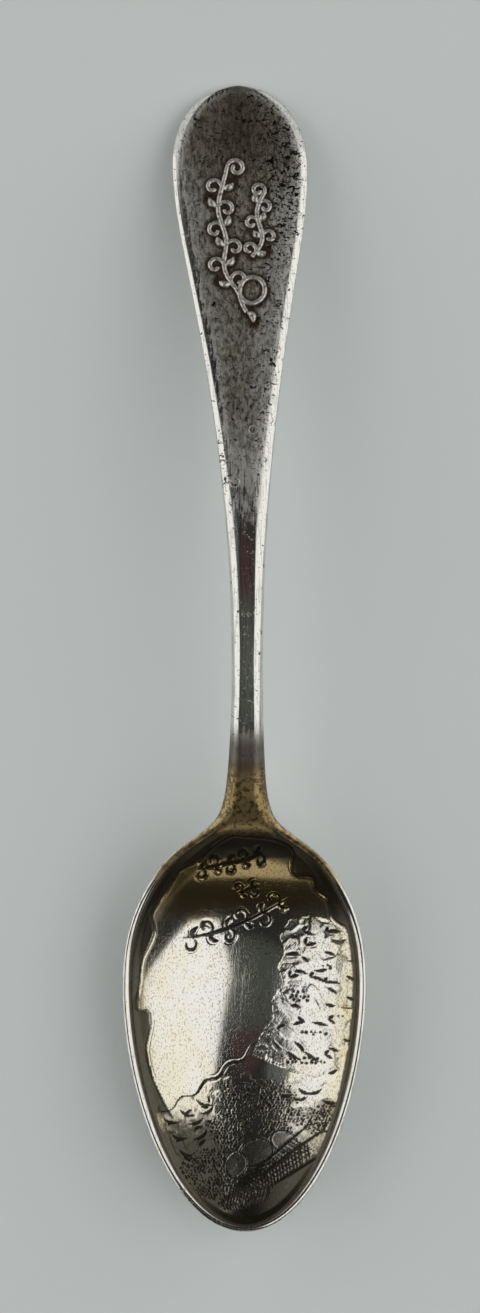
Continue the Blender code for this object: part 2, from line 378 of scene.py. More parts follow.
def room_directions(tree):
    """How far each direction points to the right of overhead and ahead of it, in radians, and its height."""
    place = add_node(tree, "TexCoord")
    parts = add_node(tree, "SeparateXYZ", {0: place.outputs["Generated"]}).outputs
    zenith = maths(tree, "ARCCOSINE", parts["Z"])
    spread_out = maths(tree, "DIVIDE", zenith, maths(tree, "MAXIMUM", maths(tree, "SINE", zenith), 0.001))
    return [maths(tree, "MULTIPLY", parts[axis], spread_out) for axis in ("X", "Y")], parts["Z"]


def room_light(tree):
    """The room's colour and brightness in each direction: a wide window on each side, a lower one beyond
    each, a dim ceiling between them, a warm strip low beyond the bowl's tip, two faint coloured patches,
    and a pale horizon."""
    aim, height = room_directions(tree)
    panes = maths(tree, "MAXIMUM", window(tree, aim, RIGHT_PANE, RIGHT_EDGES, RIGHT_JAMB),
                  window(tree, aim, LEFT_PANE, LEFT_EDGES, LEFT_JAMB))
    far_panes = maths(tree, "MAXIMUM", oval(tree, aim, *RIGHT_FAR_PANE), oval(tree, aim, *LEFT_FAR_PANE))
    ceiling = oval(tree, aim, *CEILING)
    strip = oval(tree, aim, *WARM_STRIP)
    red = oval(tree, aim, *RED_PATCH)
    blue = oval(tree, aim, *BLUE_PATCH)
    horizon = spread(tree, height, *HORIZON_RISE, 1.0, 0.0)
    level = DARK_LEVEL
    for patch, strength in ((panes, WINDOW_LEVEL), (far_panes, FAR_PANE_LEVEL), (ceiling, CEILING_LEVEL),
                            (strip, WARM_LEVEL), (red, RED_LEVEL), (blue, BLUE_LEVEL),
                            (horizon, HORIZON_LEVEL)):
        level = maths(tree, "MAXIMUM", level, maths(tree, "MULTIPLY", patch, strength))
    in_shade = maths(tree, "SUBTRACT", 1.0, panes)
    colour = DAYLIGHT
    for patch, tint in ((ceiling, GREENISH), (red, REDDISH), (blue, BLUISH)):
        colour = blend_colours(tree, maths(tree, "MULTIPLY", patch, in_shade), colour, tint)
    return colour, level


def make_world():
    """The room lights the spoon and shows in its metal. The camera itself sees a plain backdrop."""
    world = bpy.data.worlds.new("studio")
    bpy.context.scene.world = world
    world.use_nodes = True
    tree = world.node_tree
    tree.nodes.clear()
    colour, level = room_light(tree)
    room = add_node(tree, "Background", {"Color": colour, "Strength": level})
    backdrop = add_node(tree, "Background", {"Color": BACKDROP, "Strength": BACKDROP_LEVEL})
    in_view = add_node(tree, "LightPath").outputs["Is Camera Ray"]
    seen = add_node(tree, "MixShader", {0: in_view, 1: room.outputs[0], 2: backdrop.outputs[0]})
    add_node(tree, "OutputWorld", {"Surface": seen.outputs[0]})


OVERHEAD_POWER = 3.0
OVERHEAD_SIZE = 1.6
OVERHEAD_PLACE = (0.15, 0.25, 1.7)


def make_overhead_light():
    """Soft light on the floor from the ceiling, too diffuse to show in the metal."""
    data = bpy.data.lights.new("overhead", "AREA")
    data.shape = "DISK"
    data.size = OVERHEAD_SIZE
    data.energy = OVERHEAD_POWER
    light = add_to_scene(data)
    light.location = OVERHEAD_PLACE
    light.visible_glossy = False


FLOOR_SIZE = 6.0
FLOOR_DROP = 0.00002
CARD_DARKER = (0.82, 0.87, 0.87, 1.0)
CARD_LIGHTER = (0.86, 0.90, 0.895, 1.0)
CARD_CLOUDS = 14.0


def make_floor():
    """A sheet of pale card, very faintly clouded."""
    bpy.ops.mesh.primitive_plane_add(size=FLOOR_SIZE, location=(0.0, 0.0, -FLOOR_DROP))
    floor = bpy.context.object
    floor.name = "floor"
    material = bpy.data.materials.new("pale_card")
    material.use_nodes = True
    tree = material.node_tree
    shader = tree.nodes["Principled BSDF"]
    place = add_node(tree, "TexCoord")
    clouds = add_node(tree, "TexNoise", {
        "Vector": place.outputs["Object"], "Scale": CARD_CLOUDS, "Detail": 3.0,
    })
    tint = blend_colours(tree, clouds.outputs["Fac"], CARD_DARKER, CARD_LIGHTER)
    tree.links.new(tint, shader.inputs["Base Color"])
    shader.inputs["Roughness"].default_value = 0.9
    floor.data.materials.append(material)


# ---------------- materials


def surface_tree(name):
    """A new metal material: its tree, its shader, and the object's own coordinates."""
    material = bpy.data.materials.new(name)
    material.use_nodes = True
    tree = material.node_tree
    shader = tree.nodes["Principled BSDF"]
    shader.inputs["Metallic"].default_value = 1.0
    place = add_node(tree, "TexCoord").outputs["Object"]
    return material, tree, shader, place


def painted(tree, name):
    return add_node(tree, "Attribute", attribute_name=name).outputs["Fac"]


def noise(tree, place, scale, detail=2.0, stretch=(1.0, 1.0, 1.0), roughness=0.5, distortion=0.0):
    """Noise with the given number of grains to a metre, drawn out along an axis by a small stretch."""
    mapped = add_node(tree, "Mapping", {"Vector": place, "Scale": stretch})
    return add_node(tree, "TexNoise", {
        "Vector": mapped.outputs[0], "Scale": scale, "Detail": detail, "Roughness": roughness,
        "Distortion": distortion,
    }).outputs["Fac"]


def swing(tree, grain, amount):
    """A noise of 0 to 1 turned into a change of up to half the amount, up or down."""
    return maths(tree, "MULTIPLY_ADD", grain, amount, -amount / 2)


def total(tree, first, *others):
    for other in others:
        first = maths(tree, "ADD", first, other)
    return first


def highest(tree, first, *others):
    for other in others:
        first = maths(tree, "MAXIMUM", first, other)
    return first


def finish_metal(tree, shader, colour, gloss, relief, distance):
    """Links a metal's colour, its roughness, and its relief as bumps of up to the given metres."""
    bump = add_node(tree, "Bump", {"Height": relief, "Distance": distance})
    tree.links.new(colour, shader.inputs["Base Color"])
    tree.links.new(gloss, shader.inputs["Roughness"])
    tree.links.new(bump.outputs["Normal"], shader.inputs["Normal"])


POLISHED = (0.82, 0.81, 0.77, 1.0)
DULL = (0.50, 0.47, 0.39, 1.0)
SMOKED = (0.115, 0.10, 0.075, 1.0)
BLACK = (0.012, 0.011, 0.010, 1.0)
GOLD = (0.66, 0.50, 0.24, 1.0)
PALE_GOLD = (0.80, 0.765, 0.62, 1.0)
OLIVE = (0.060, 0.056, 0.040, 1.0)
GOLDEN_BROWN = (0.50, 0.37, 0.165, 1.0)
BROWN = (0.070, 0.046, 0.026, 1.0)
FRECKLE = (0.34, 0.27, 0.13, 1.0)
GROOVE_DIRT = (0.030, 0.026, 0.018, 1.0)
RAISED = (0.70, 0.68, 0.63, 1.0)
SILVER_BUMP = 0.000012
GOLD_BUMP = 0.000014


def pits_in(tree, place, blotches, pitting):
    """1 in the corrosion pits: large ones from the blotches, and small round ones."""
    specks = noise(tree, place, 4000.0, 2.0, (0.8, 1.0, 1.0))
    large = maths(tree, "SUBTRACT", blotches, maths(tree, "MULTIPLY_ADD", pitting, -0.145, 0.675))
    small = maths(tree, "SUBTRACT", specks, maths(tree, "MULTIPLY_ADD", pitting, -0.14, 0.72))
    return spread(tree, highest(tree, large, small), 0.0, 0.03)


def worn_silver():
    """Silver tarnished brown in its flat fields, rubbed bright on its edges, scratched along its length
    and pitted. Reads the painted amounts "wear", "pitting", "grime" and "gilt". The first also holds
    painted light, the handle's lighter sides; the first and third together hold painted shade, the dark
    middle of the handle's end."""
    material, tree, shader, place = surface_tree("worn_silver")
    wear_and_painted_light, pitting, grime_and_painted_shade, gilt = [painted(tree, name) for name in ("wear_and_painted_light", "pitting", "grime_and_painted_shade", "gilt")]
    mottle = noise(tree, place, 2200.0, 4.0, (1.0, 0.5, 0.8), 0.7)
    streaks = noise(tree, place, 4200.0, 3.0, (1.0, 0.07, 0.4), 0.6)
    clouds = noise(tree, place, 330.0, 4.0, (1.0, 0.8, 1.0), 0.6)
    blotches = noise(tree, place, 1700.0, 4.0, (0.8, 1.0, 1.0), 0.65, 0.7)
    pits = pits_in(tree, place, blotches, pitting)
    dulled = maths(tree, "MULTIPLY", grime_and_painted_shade, -0.7)
    # The rubbed brightness also carries painted light and shade on the handle: its lighter sides and darker
    # end.
    rubbed = total(tree, wear_and_painted_light, swing(tree, mottle, 1.1), swing(tree, clouds, 0.7), swing(tree, streaks, 1.2),
                   dulled)
    washed = total(tree, gilt, swing(tree, clouds, 0.8))
    field = coat(tree, SMOKED, DULL, mottle, 0.34, 0.62)
    metal = coat(tree, field, POLISHED, rubbed, 0.15, 0.85)
    brushed = maths(tree, "MULTIPLY", spread(tree, streaks, 0.50, 0.60),
                    spread(tree, wear_and_painted_light, 0.6, 1.1, 0.55, 0.25))
    metal = blend_colours(tree, brushed, metal, SMOKED)
    metal = coat(tree, metal, GOLDEN_BROWN, washed, 0.2, 0.8, 0.9)
    flecks = maths(tree, "MULTIPLY", washed, blotches)
    metal = coat(tree, metal, BROWN, flecks, 0.40, 0.56, 0.7)
    # This dark coat also lays painted shade on the middle of the handle's end.
    metal = coat(tree, metal, BROWN, grime_and_painted_shade, 0.1, 1.0, 0.92)
    gloss = highest(tree, spread(tree, rubbed, 0.65, 1.25, 0.46, 0.12),
                    spread(tree, washed, 0.2, 0.8, 0.0, 0.40), spread(tree, grime_and_painted_shade, 0.1, 0.8, 0.0, 0.42))
    relief = maths(tree, "MULTIPLY_ADD", mottle, 0.9, maths(tree, "MULTIPLY", streaks, 0.35))
    relief = maths(tree, "MULTIPLY", relief, spread(tree, wear_and_painted_light, 0.3, 0.9, 1.0, 0.12))
    finish_metal(
        tree, shader, blend_colours(tree, pits, metal, BLACK), maths(tree, "MULTIPLY_ADD", pits, 0.35, gloss),
        maths(tree, "MULTIPLY_ADD", pits, -1.4, relief), SILVER_BUMP,
    )
    return material


def raised_silver():
    """The struck ornament: rubbed bright, with smoky grain in its flanks."""
    material, tree, shader, place = surface_tree("raised_silver")
    grain = noise(tree, place, 2600.0, 3.0, roughness=0.6)
    colour = coat(tree, RAISED, SMOKED, grain, 0.44, 0.72)
    finish_metal(tree, shader, colour, spread(tree, grain, 0.2, 0.8, 0.36, 0.50), grain, SILVER_BUMP)
    return material


def chisel_marks(tree, place):
    """Fine parallel cuts, which lean one way or the other from facet to facet."""
    cuts = []
    for angle in (35.0, -50.0):
        turn = (0.0, 0.0, math.radians(angle))
        turned = add_node(tree, "Mapping", {"Vector": place, "Rotation": turn})
        cuts.append(noise(tree, turned.outputs[0], 3600.0, 2.0, (1.0, 0.12, 0.5), 0.6))
    choice = spread(tree, noise(tree, place, 480.0, 1.0), 0.47, 0.53)
    return add_node(tree, "Mix", {0: choice, 2: cuts[0], 3: cuts[1]}, data_type="FLOAT").outputs[0]


def worn_gilding():
    """Gold wash worn through to silver, stained near the rim and matt on the neck. Reads the painted
    amounts "gold", "stain", "matt", "cut" and "groove"."""
    material, tree, shader, place = surface_tree("worn_gilding")
    names = ("gold", "stain", "matt", "cut", "groove")
    gold, stain, matt, cut, groove = [painted(tree, name) for name in names]
    clouds = noise(tree, place, 260.0, 4.0, roughness=0.6)
    specks = noise(tree, place, 5200.0, 2.0, (1.0, 0.6, 1.0))
    scratches = noise(tree, place, 7500.0, 2.0, (1.0, 0.03, 0.5), 0.6)
    flakes = noise(tree, place, 1700.0, 4.0, (1.0, 0.8, 1.0), 0.7)
    left = total(tree, gold, swing(tree, clouds, 0.9), swing(tree, specks, 0.5))
    plating = coat(tree, POLISHED, PALE_GOLD, left, 0.0, 0.4)
    plating = coat(tree, plating, GOLD, left, 0.40, 0.9)
    freckles = spread(tree, specks, 0.57, 0.64, 0.0, 0.6)
    plating = blend_colours(tree, freckles, plating, FRECKLE)
    plating = blend_colours(tree, matt, plating, GOLDEN_BROWN)
    flecks = maths(tree, "MULTIPLY", matt, flakes)
    plating = coat(tree, plating, BROWN, flecks, 0.48, 0.58, 0.8)
    dirty = total(tree, stain, swing(tree, flakes, 0.8))
    plating = coat(tree, plating, OLIVE, dirty, 0.25, 0.8, 0.95)
    colour = coat(tree, plating, GROOVE_DIRT, groove, 0.15, 0.8, 0.95)
    gloss = maths(tree, "MULTIPLY_ADD", cut, 0.10, 0.08)
    gloss = maths(tree, "MULTIPLY_ADD", groove, 0.22, gloss)
    gloss = maths(tree, "MULTIPLY_ADD", spread(tree, dirty, 0.2, 0.9), 0.18, gloss)
    gloss = maths(tree, "MULTIPLY_ADD", matt, 0.26, gloss)
    gloss = maths(tree, "MULTIPLY_ADD", scratches, 0.06, gloss)
    relief = maths(tree, "MULTIPLY", chisel_marks(tree, place), maths(tree, "MULTIPLY", cut, 3.6))
    relief = maths(tree, "MULTIPLY_ADD", spread(tree, scratches, 0.55, 0.75), -0.16, relief)
    relief = maths(tree, "MULTIPLY_ADD", freckles, -0.35, relief)
    relief = maths(tree, "MULTIPLY_ADD", flecks, 0.8, relief)
    finish_metal(tree, shader, colour, gloss, relief, GOLD_BUMP)
    return material


# ---------------- mesh helpers


def mesh_object(name, points, faces, material):
    data = bpy.data.meshes.new(name)
    data.from_pydata((points * MM).tolist(), [], faces)
    data.validate()
    data.shade_smooth()
    data.materials.append(material)
    return add_to_scene(data)


def paint(item, name, values):
    """A number for each vertex, which the material reads."""
    attribute = item.data.attributes.new(name, "FLOAT", "POINT")
    attribute.data.foreach_set("value", np.ravel(values).astype(np.float32))


def quads(index, upwards):
    """Faces between the rows of a grid of vertex numbers."""
    corners = [index[:-1, :-1], index[:-1, 1:], index[1:, 1:], index[1:, :-1]]
    faces = np.stack(corners if upwards else corners[::-1], axis=-1).reshape(-1, 4)
    return faces.tolist()


def cap(pole, row):
    """Triangles from one point to a row of vertices."""
    return [[pole, int(b), int(a)] for a, b in zip(row[:-1], row[1:])]


def smooth_line(points, step=0.12):
    """A smooth line of points through a few places, given as (across, along)."""
    points = np.array(points, float)
    run = np.concatenate([[0.0], np.cumsum(np.linalg.norm(np.diff(points, axis=0), axis=1))])
    places = np.linspace(0.0, run[-1], max(3, int(run[-1] / step)))
    across = curve_through(list(zip(run, points[:, 0])))(places)
    along = curve_through(list(zip(run, points[:, 1])))(places)
    return np.stack([across, along], axis=-1)


def towards(heading):
    """A step of one millimetre, as (across, along). The heading is in degrees, from the right."""
    turn = math.radians(heading)
    return np.array([math.cos(turn), math.sin(turn)])


def spiral(centre, radius, turns, start, inner):
    """A volute that winds in from its outer radius. Angles are in degrees; negative turns go clockwise."""
    share = np.linspace(0.0, 1.0, int(26 * abs(turns)) + 4)
    angle = math.radians(start) + 2 * math.pi * turns * share
    reach = radius * (1 - (1 - inner) * share)
    return np.stack([centre[0] + reach * np.cos(angle), centre[1] + reach * np.sin(angle)], axis=-1)


def tendril(base, heading, radius, side, turns=0.9, inner=0.3):
    """A volute that leaves its stem at a base and curls to the left (side 1) or the right (side -1)."""
    centre = np.array(base) + side * radius * towards(heading + 90.0)
    return spiral(centre, radius, side * turns, heading - side * 90.0, inner)


def blade(base, heading, length, bend=0.25):
    """The bowed midline of a small leaf."""
    share = np.linspace(0.0, 1.0, 9)
    bow = bend * length * np.sin(math.pi * share)
    forward, sideways = towards(heading), towards(heading + 90.0)
    return np.array(base) + length * share[:, None] * forward + bow[:, None] * sideways


def vine(points, radius, reach, side=1):
    """A stem with volutes and leaves that leave it on alternate sides, every reach millimetres."""
    stem = smooth_line(points)
    steps = np.concatenate([[0.0], np.cumsum(np.linalg.norm(np.diff(stem, axis=0), axis=1))])
    tendrils, leaves = [], []
    for k, run in enumerate(np.arange(0.35 * reach, steps[-1] - 0.3 * reach, reach)):
        i = int(np.searchsorted(steps, run))
        ahead = stem[min(i + 3, len(stem) - 1)] - stem[i]
        heading = math.degrees(math.atan2(ahead[1], ahead[0]))
        turned = side if k % 2 else -side
        tendrils.append(tendril(stem[i], heading + 10 * turned, radius, turned))
        leaves.append(blade(stem[i], heading - 48 * turned, 1.5 * radius, -0.2 * turned))
    return stem, tendrils, leaves


# ---------------- the spoon

BODY_ACROSS_STEPS = 64
BODY_TIP_STEPS = 70
BODY_STEP = 0.4
BODY_END_STEPS = 40
UNDERSIDE_WEAR = 0.95
UNDERSIDE_PITTING = 0.22
GRIME_REACH = 0.55


def rubbed_and_painted_light(along, across):
    """How far handling has kept the upper face bright: its edges and the stem most, the bowl's lip less
    towards its tip. Painted light is laid in too: the sides lighter, the right more than the left, as
    painted reflections of the side windows, and the middle of the handle's end darker, as a painted dark
    reflection. Over 1, even the grain of the tarnish is gone."""
    inward = edge_distance(along, across)
    edge = 1.5 * fade(inward, 0.2, 2.6) * (0.35 + 0.65 * ease(along, 3.0, 16.0))
    side = across / half_width(along)
    # Painted light: the sides lighter, the right more than the left, as painted reflections of the side
    # windows.
    field = 0.28 + 0.40 * ease(side, -0.1, 0.8) + 0.34 * ease(-side, 0.25, 0.9)
    # Painted shade: the middle of the handle's end darker, as a painted dark reflection.
    field = field * (1 - 0.9 * ease(along, 128.0, 139.0) * (1 - side**2))
    stem = 1.35 * fade(along, 82.0, 114.0)
    return np.maximum.reduce([edge, field, stem])


def pitting(along, across):
    """How thickly corrosion has pitted the upper face: most on the handle's right side."""
    side = across / half_width(along)
    handle = ease(along, 84.0, 104.0) * (0.55 + 0.45 * ease(side, -0.1, 0.7))
    handle = handle * (0.8 + 0.2 * ease(along, 118.0, 132.0))
    handle = handle * (0.45 + 0.55 * ease(edge_distance(along, across), 0.4, 1.4))
    left_patch = 0.80 * np.exp(-(((along - 97.0) / 5.0) ** 2)) * ease(-across, 0.2, 1.6)
    stem = 0.20 * ease(along, 57.0, 60.0)
    return np.maximum.reduce([handle, left_patch, stem])


def grime_and_painted_shade(along, across):
    """Dirt left around the struck ornament; darker across the foot of the stem and just inside the bowl's
    lip; and painted shade down the middle of the handle's end, standing for a dark reflection.
    """
    amount = 0.80 * ease(along, 57.0, 60.5) * fade(along, 62.0, 67.0)
    inside_lip = ease(edge_distance(along, across), 0.28, 0.5) * fade(along, 47.0, 50.5)
    amount = np.maximum(amount, inside_lip)
    centre = 1 - np.clip(np.abs(across) / half_width(along), 0, 1) ** 1.5
    # Painted shade: the middle of the handle's end darkened, standing for a dark reflection.
    amount = np.maximum(amount, 0.72 * ease(along, 129.0, 139.0) * centre)
    near = (along > 112.0) & (along < 141.0)
    for line, radius in handle_scroll():
        gap = nearest_on_line(across[near], along[near], line)[0] - radius
        amount[near] = np.maximum(amount[near], fade(gap, 0.0, GRIME_REACH))
    return amount


def gold_tint(along):
    """Gold wash that ran past the hollow, onto the neck's sides and thinly onto the lip."""
    neck = ease(along, 40.0, 49.0) * fade(along, 58.0, 62.5)
    return np.maximum(neck, 0.25 * fade(along, 46.0, 50.0))


def make_body():
    places = places_along(BODY_TIP_STEPS, BODY_STEP, BODY_END_STEPS)[1:-1]
    along, spacing = np.meshgrid(places, bell_spacing(BODY_ACROSS_STEPS), indexing="ij")
    across = spacing * half_width(along)
    top = upper_face(along, across)
    bottom = underside(along, across) - TABLE
    bottom[..., 2] = np.maximum(bottom[..., 2], 0.0)
    poles = middle_surface(np.array([0.0, LENGTH]), np.zeros(2)) - TABLE
    rows, columns = along.shape
    upper = np.arange(rows * columns).reshape(rows, columns)
    lower = upper.copy()
    lower[:, 1:-1] = rows * columns + np.arange(rows * (columns - 2)).reshape(rows, columns - 2)
    points = np.concatenate([top.reshape(-1, 3), bottom[:, 1:-1].reshape(-1, 3), poles])
    tip, end = len(points) - 2, len(points) - 1
    faces = quads(upper, True) + quads(lower, False)
    faces += cap(tip, upper[0]) + cap(tip, lower[0][::-1])
    faces += cap(end, upper[-1][::-1]) + cap(end, lower[-1])
    item = mesh_object("silver_spoon", points, faces, worn_silver())
    # The first and third painted amounts carry painted light and shade on the handle, besides real rubbing
    # and dirt.
    for name, above, below, at_poles in (
        ("wear_and_painted_light", rubbed_and_painted_light(along, across), UNDERSIDE_WEAR, 1.0),
        ("pitting", pitting(along, across), UNDERSIDE_PITTING, 0.0),
        ("grime_and_painted_shade", grime_and_painted_shade(along, across), 0.0, 0.0),
        ("gilt", gold_tint(along), 0.0, 0.0),
    ):
        underneath = np.full(rows * (columns - 2), below)
        paint(item, name, np.concatenate([above.ravel(), underneath, [at_poles, at_poles]]))
    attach(item, "root")
    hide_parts("spoon_body")


# ---------------- ornament on the handle

WIRE_RADIUS = 0.36
WIRE_SINK = 0.14
LEAF_RADIUS = 0.52
TALL_VINE = [(-0.9, 119.8), (-2.3, 122.4), (-2.0, 126.0), (-2.9, 129.6), (-2.3, 133.0), (-1.6, 135.6)]
SHORT_VINE = [(1.2, 123.8), (2.6, 126.2), (2.0, 129.2), (3.1, 132.2)]
LOOP = [(-0.9, 119.8), (0.9, 117.9), (2.6, 118.9), (2.2, 120.9), (0.4, 121.0), (-0.4, 118.8), (0.4, 116.8)]
RING_PUNCHES = [((0.9, 101.9), 0.5), ((-1.5, 95.3), 0.62)]
RING_WIRE_RADIUS = 0.10
RING_SINK = 0.03


def handle_scroll():
    """The lines of the struck ornament, each with its radius: a tall vine up the left of the handle, a
    shorter one beside it, and a loop below them."""
    lines = []
    for stem, tendrils, leaves in (vine(TALL_VINE, 1.1, 2.5), vine(SHORT_VINE, 0.9, 2.2, -1)):
        lines.append((stem, WIRE_RADIUS))
        lines += [(line, 0.9 * WIRE_RADIUS) for line in tendrils]
        lines += [(line, LEAF_RADIUS) for line in leaves]
    lines.append((smooth_line(LOOP), WIRE_RADIUS))
    lines.append((tendril((-1.6, 135.6), 70.0, 1.15, -1, 1.1), WIRE_RADIUS))
    lines.append((tendril((3.1, 132.2), 80.0, 0.9, 1, 1.0), 0.9 * WIRE_RADIUS))
    lines.append((blade((0.4, 116.8), -60.0, 1.6), LEAF_RADIUS))
    return lines


def wire_object(name, lines, sink, material):
    """Raised lines, sunk a little in the spoon's upper face. A leaf tapers to both its ends."""
    data = bpy.data.curves.new(name, "CURVE")
    data.dimensions = "3D"
    data.bevel_depth = MM
    data.bevel_resolution = 3
    data.use_fill_caps = True
    for line, radius in lines:
        places = upper_face(line[:, 1], line[:, 0], -sink) * MM
        spline = data.splines.new("POLY")
        spline.points.add(len(places) - 1)
        swell = np.sin(math.pi * np.linspace(0.06, 0.94, len(places)))
        thickness = radius * (swell if radius == LEAF_RADIUS else 0.7 + 0.3 * swell**0.4)
        for point, place, size in zip(spline.points, places, thickness):
            point.co = (*place, 1.0)
            point.radius = size
    data.materials.append(material)
    item = add_to_scene(data)
    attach(item, "root")


def make_handle_ornament():
    wire_object("handle_scroll", handle_scroll(), WIRE_SINK, raised_silver())
    rings = [(spiral(centre, radius, 1.0, 0.0, 1.0), RING_WIRE_RADIUS) for centre, radius in RING_PUNCHES]
    wire_object("ring_punches", rings, RING_SINK, raised_silver())


# ---------------- the gilding

GILDING_ROWS = 366
GILDING_COLUMNS = 205
UNDER_STRIDE = 3
TIP_ROWS = 22
TIP_TURN = 0.06
GILDING_LIFT = 0.20
LEAST_LIFT = 0.02


def gilding_half_width(along):
    tip = np.clip((BOWL_WIDEST - along) / (BOWL_WIDEST - GILDING_MARGIN), 0, 1)
    egg = (BOWL_HALF_WIDTH - GILDING_MARGIN) * np.sqrt(1 - tip**TIP_POWER)
    width = half_width(along)
    beyond = np.maximum(width - GILDING_MARGIN, GILDING_NECK_SHARE * width)
    return np.where(along < BOWL_WIDEST, egg, beyond)


def gilding_grid():
    """Even rows along the bowl, closer together at its round tip."""
    turn = np.arccos(1 - TIP_TURN * np.linspace(0.004, 1, TIP_ROWS + 1))
    tip = GILDING_MARGIN + (BOWL_WIDEST - GILDING_MARGIN) * (1 - np.cos(turn))
    rest = np.linspace(tip[-1], GILDING_END, GILDING_ROWS + 1 - TIP_ROWS)
    along, spacing = np.meshgrid(
        np.concatenate([tip[:-1], rest]), np.linspace(-1, 1, GILDING_COLUMNS), indexing="ij"
    )
    return along, spacing * gilding_half_width(along)


def gilding_outline():
    turn = np.linspace(0, math.pi / 2, 40)
    along = np.concatenate([
        BOWL_WIDEST - (BOWL_WIDEST - GILDING_MARGIN) * np.cos(turn),
        np.arange(BOWL_WIDEST + 0.7, GILDING_END, 0.7),
        [GILDING_END],
    ])
    right = np.stack([gilding_half_width(along), along], axis=-1)
    return np.concatenate([right, right[::-1] * (-1, 1)])


ALONG, ACROSS = gilding_grid()
relief = np.zeros(ALONG.shape)
groove = np.zeros(ALONG.shape)
cut = np.zeros(ALONG.shape)
shade = np.zeros(ALONG.shape)

# Each cut has its width and depth in millimetres, how much dirt it holds, and how much metal it throws up.
BORDER_CUT = (0.36, 0.08, 0.6, 0.6)
STEM_CUT = (0.50, 0.16, 0.85, 0.9)
CURL_CUT = (0.42, 0.14, 0.8, 0.9)
LEAF_CUT = (0.62, 0.15, 0.75, 0.9)
SHELL_CUT = (0.28, 0.05, 0.12, 0.4)
DARK_CUT = (0.46, 0.16, 1.0, 0.6)
RIDGE_CUT = (0.36, 0.12, 1.0, 0.4)
BOULDER_CUT = (0.36, 0.1, 0.9, 0.5)
HATCH_CUT = (0.27, 0.09, 1.0, 0.6)
FACET_DEPTH = 0.13
# Punched dots: their spacing, radius and depth in millimetres, and the dirt rubbed between them.
FINE_DOTS = (0.40, 0.15, 0.09, 0.55)
BOLD_DOTS = (0.58, 0.21, 0.12, 0.10)


def engrave(line, width, depth, dark, burr, pointed=True):
    """Cuts a line with a graver: a rounded groove, pointed at its ends, with a little metal thrown up."""
    line = np.asarray(line, float)
    low, high = line.min(0) - 1.5 * width, line.max(0) + 1.5 * width
    near = (ACROSS > low[0]) & (ACROSS < high[0]) & (ALONG > low[1]) & (ALONG < high[1])
    gap, share = nearest_on_line(ACROSS[near], ALONG[near], line)
    swell = np.sin(math.pi * np.clip(share, 0.02, 0.98)) ** 0.5 if pointed else 1.0
    half = width / 2 * swell
    bowl = np.clip(1 - (gap / half) ** 2, 0, 1)
    lip = burr * depth * swell * np.exp(-(((gap - 1.35 * half) / (0.4 * half)) ** 2))
    relief[near] = np.minimum(relief[near], -depth * swell * bowl) + np.where(bowl > 0, 0, lip)
    groove[near] = np.maximum(groove[near], dark * np.clip(2.2 * bowl, 0, 1))


def punch(centre, radius, depth):
    """One round pit of a stippling punch."""
    near = (np.abs(ACROSS - centre[0]) < 1.6 * radius) & (np.abs(ALONG - centre[1]) < 1.6 * radius)
    gap = np.hypot(ACROSS[near] - centre[0], ALONG[near] - centre[1]) / radius
    pit = np.clip(1 - gap**2, 0, 1)
    rim = 0.5 * depth * np.exp(-(((gap - 1.25) / 0.3) ** 2))
    relief[near] = np.minimum(relief[near], -depth * pit) + np.where(pit > 0, 0, rim)
    groove[near] = np.maximum(groove[near], np.clip(2.0 * pit, 0, 1))


def inside(area, across, along):
    """Whether each point lies inside a closed outline."""
    found = np.zeros(np.shape(across), bool)
    for (x0, y0), (x1, y1) in zip(area, np.roll(area, -1, axis=0)):
        crosses = (y0 > along) != (y1 > along)
        reach = x0 + (along - y0) * (x1 - x0) / (y1 - y0 if y1 != y0 else 1e-9)
        found ^= crosses & (across < reach)
    return found


def stipple(centre, size, dots):
    """A bank of foliage: punch marks set close together over an oval, with dirt rubbed between them."""
    spacing, radius, depth, dirt = dots
    across, along = (ACROSS - centre[0]) / (size[0] + 0.2), (ALONG - centre[1]) / (size[1] + 0.2)
    np.maximum(shade, dirt * fade(np.hypot(across, along), 0.75, 1.1), out=shade)
    for row, y in enumerate(np.arange(-size[1], size[1], 0.87 * spacing)):
        for x in np.arange(-size[0], size[0], spacing) + 0.5 * spacing * (row % 2):
            place = np.array([x, y]) + rng.normal(0, 0.16 * spacing, 2)
            if np.hypot(*(place / size)) > rng.uniform(0.75, 1.05):
                continue
            place = place + centre
            if abs(place[0]) < gilding_half_width(place[1]) - 0.5:
                punch(place, radius * rng.uniform(0.8, 1.25), depth * rng.uniform(0.7, 1.2))


def fan(foot, angle, opening, length, count):
    """Shallow bright cuts that spread from a foot, like a shell."""
    for k in range(count):
        ray = towards(angle + opening * (k / (count - 1) - 0.5))
        start = np.array(foot) + 0.15 * length * ray
        stop = np.array(foot) + length * rng.uniform(0.8, 1.1) * ray
        engrave([start, (start + stop) / 2 + rng.normal(0, 0.04, 2), stop], *SHELL_CUT)


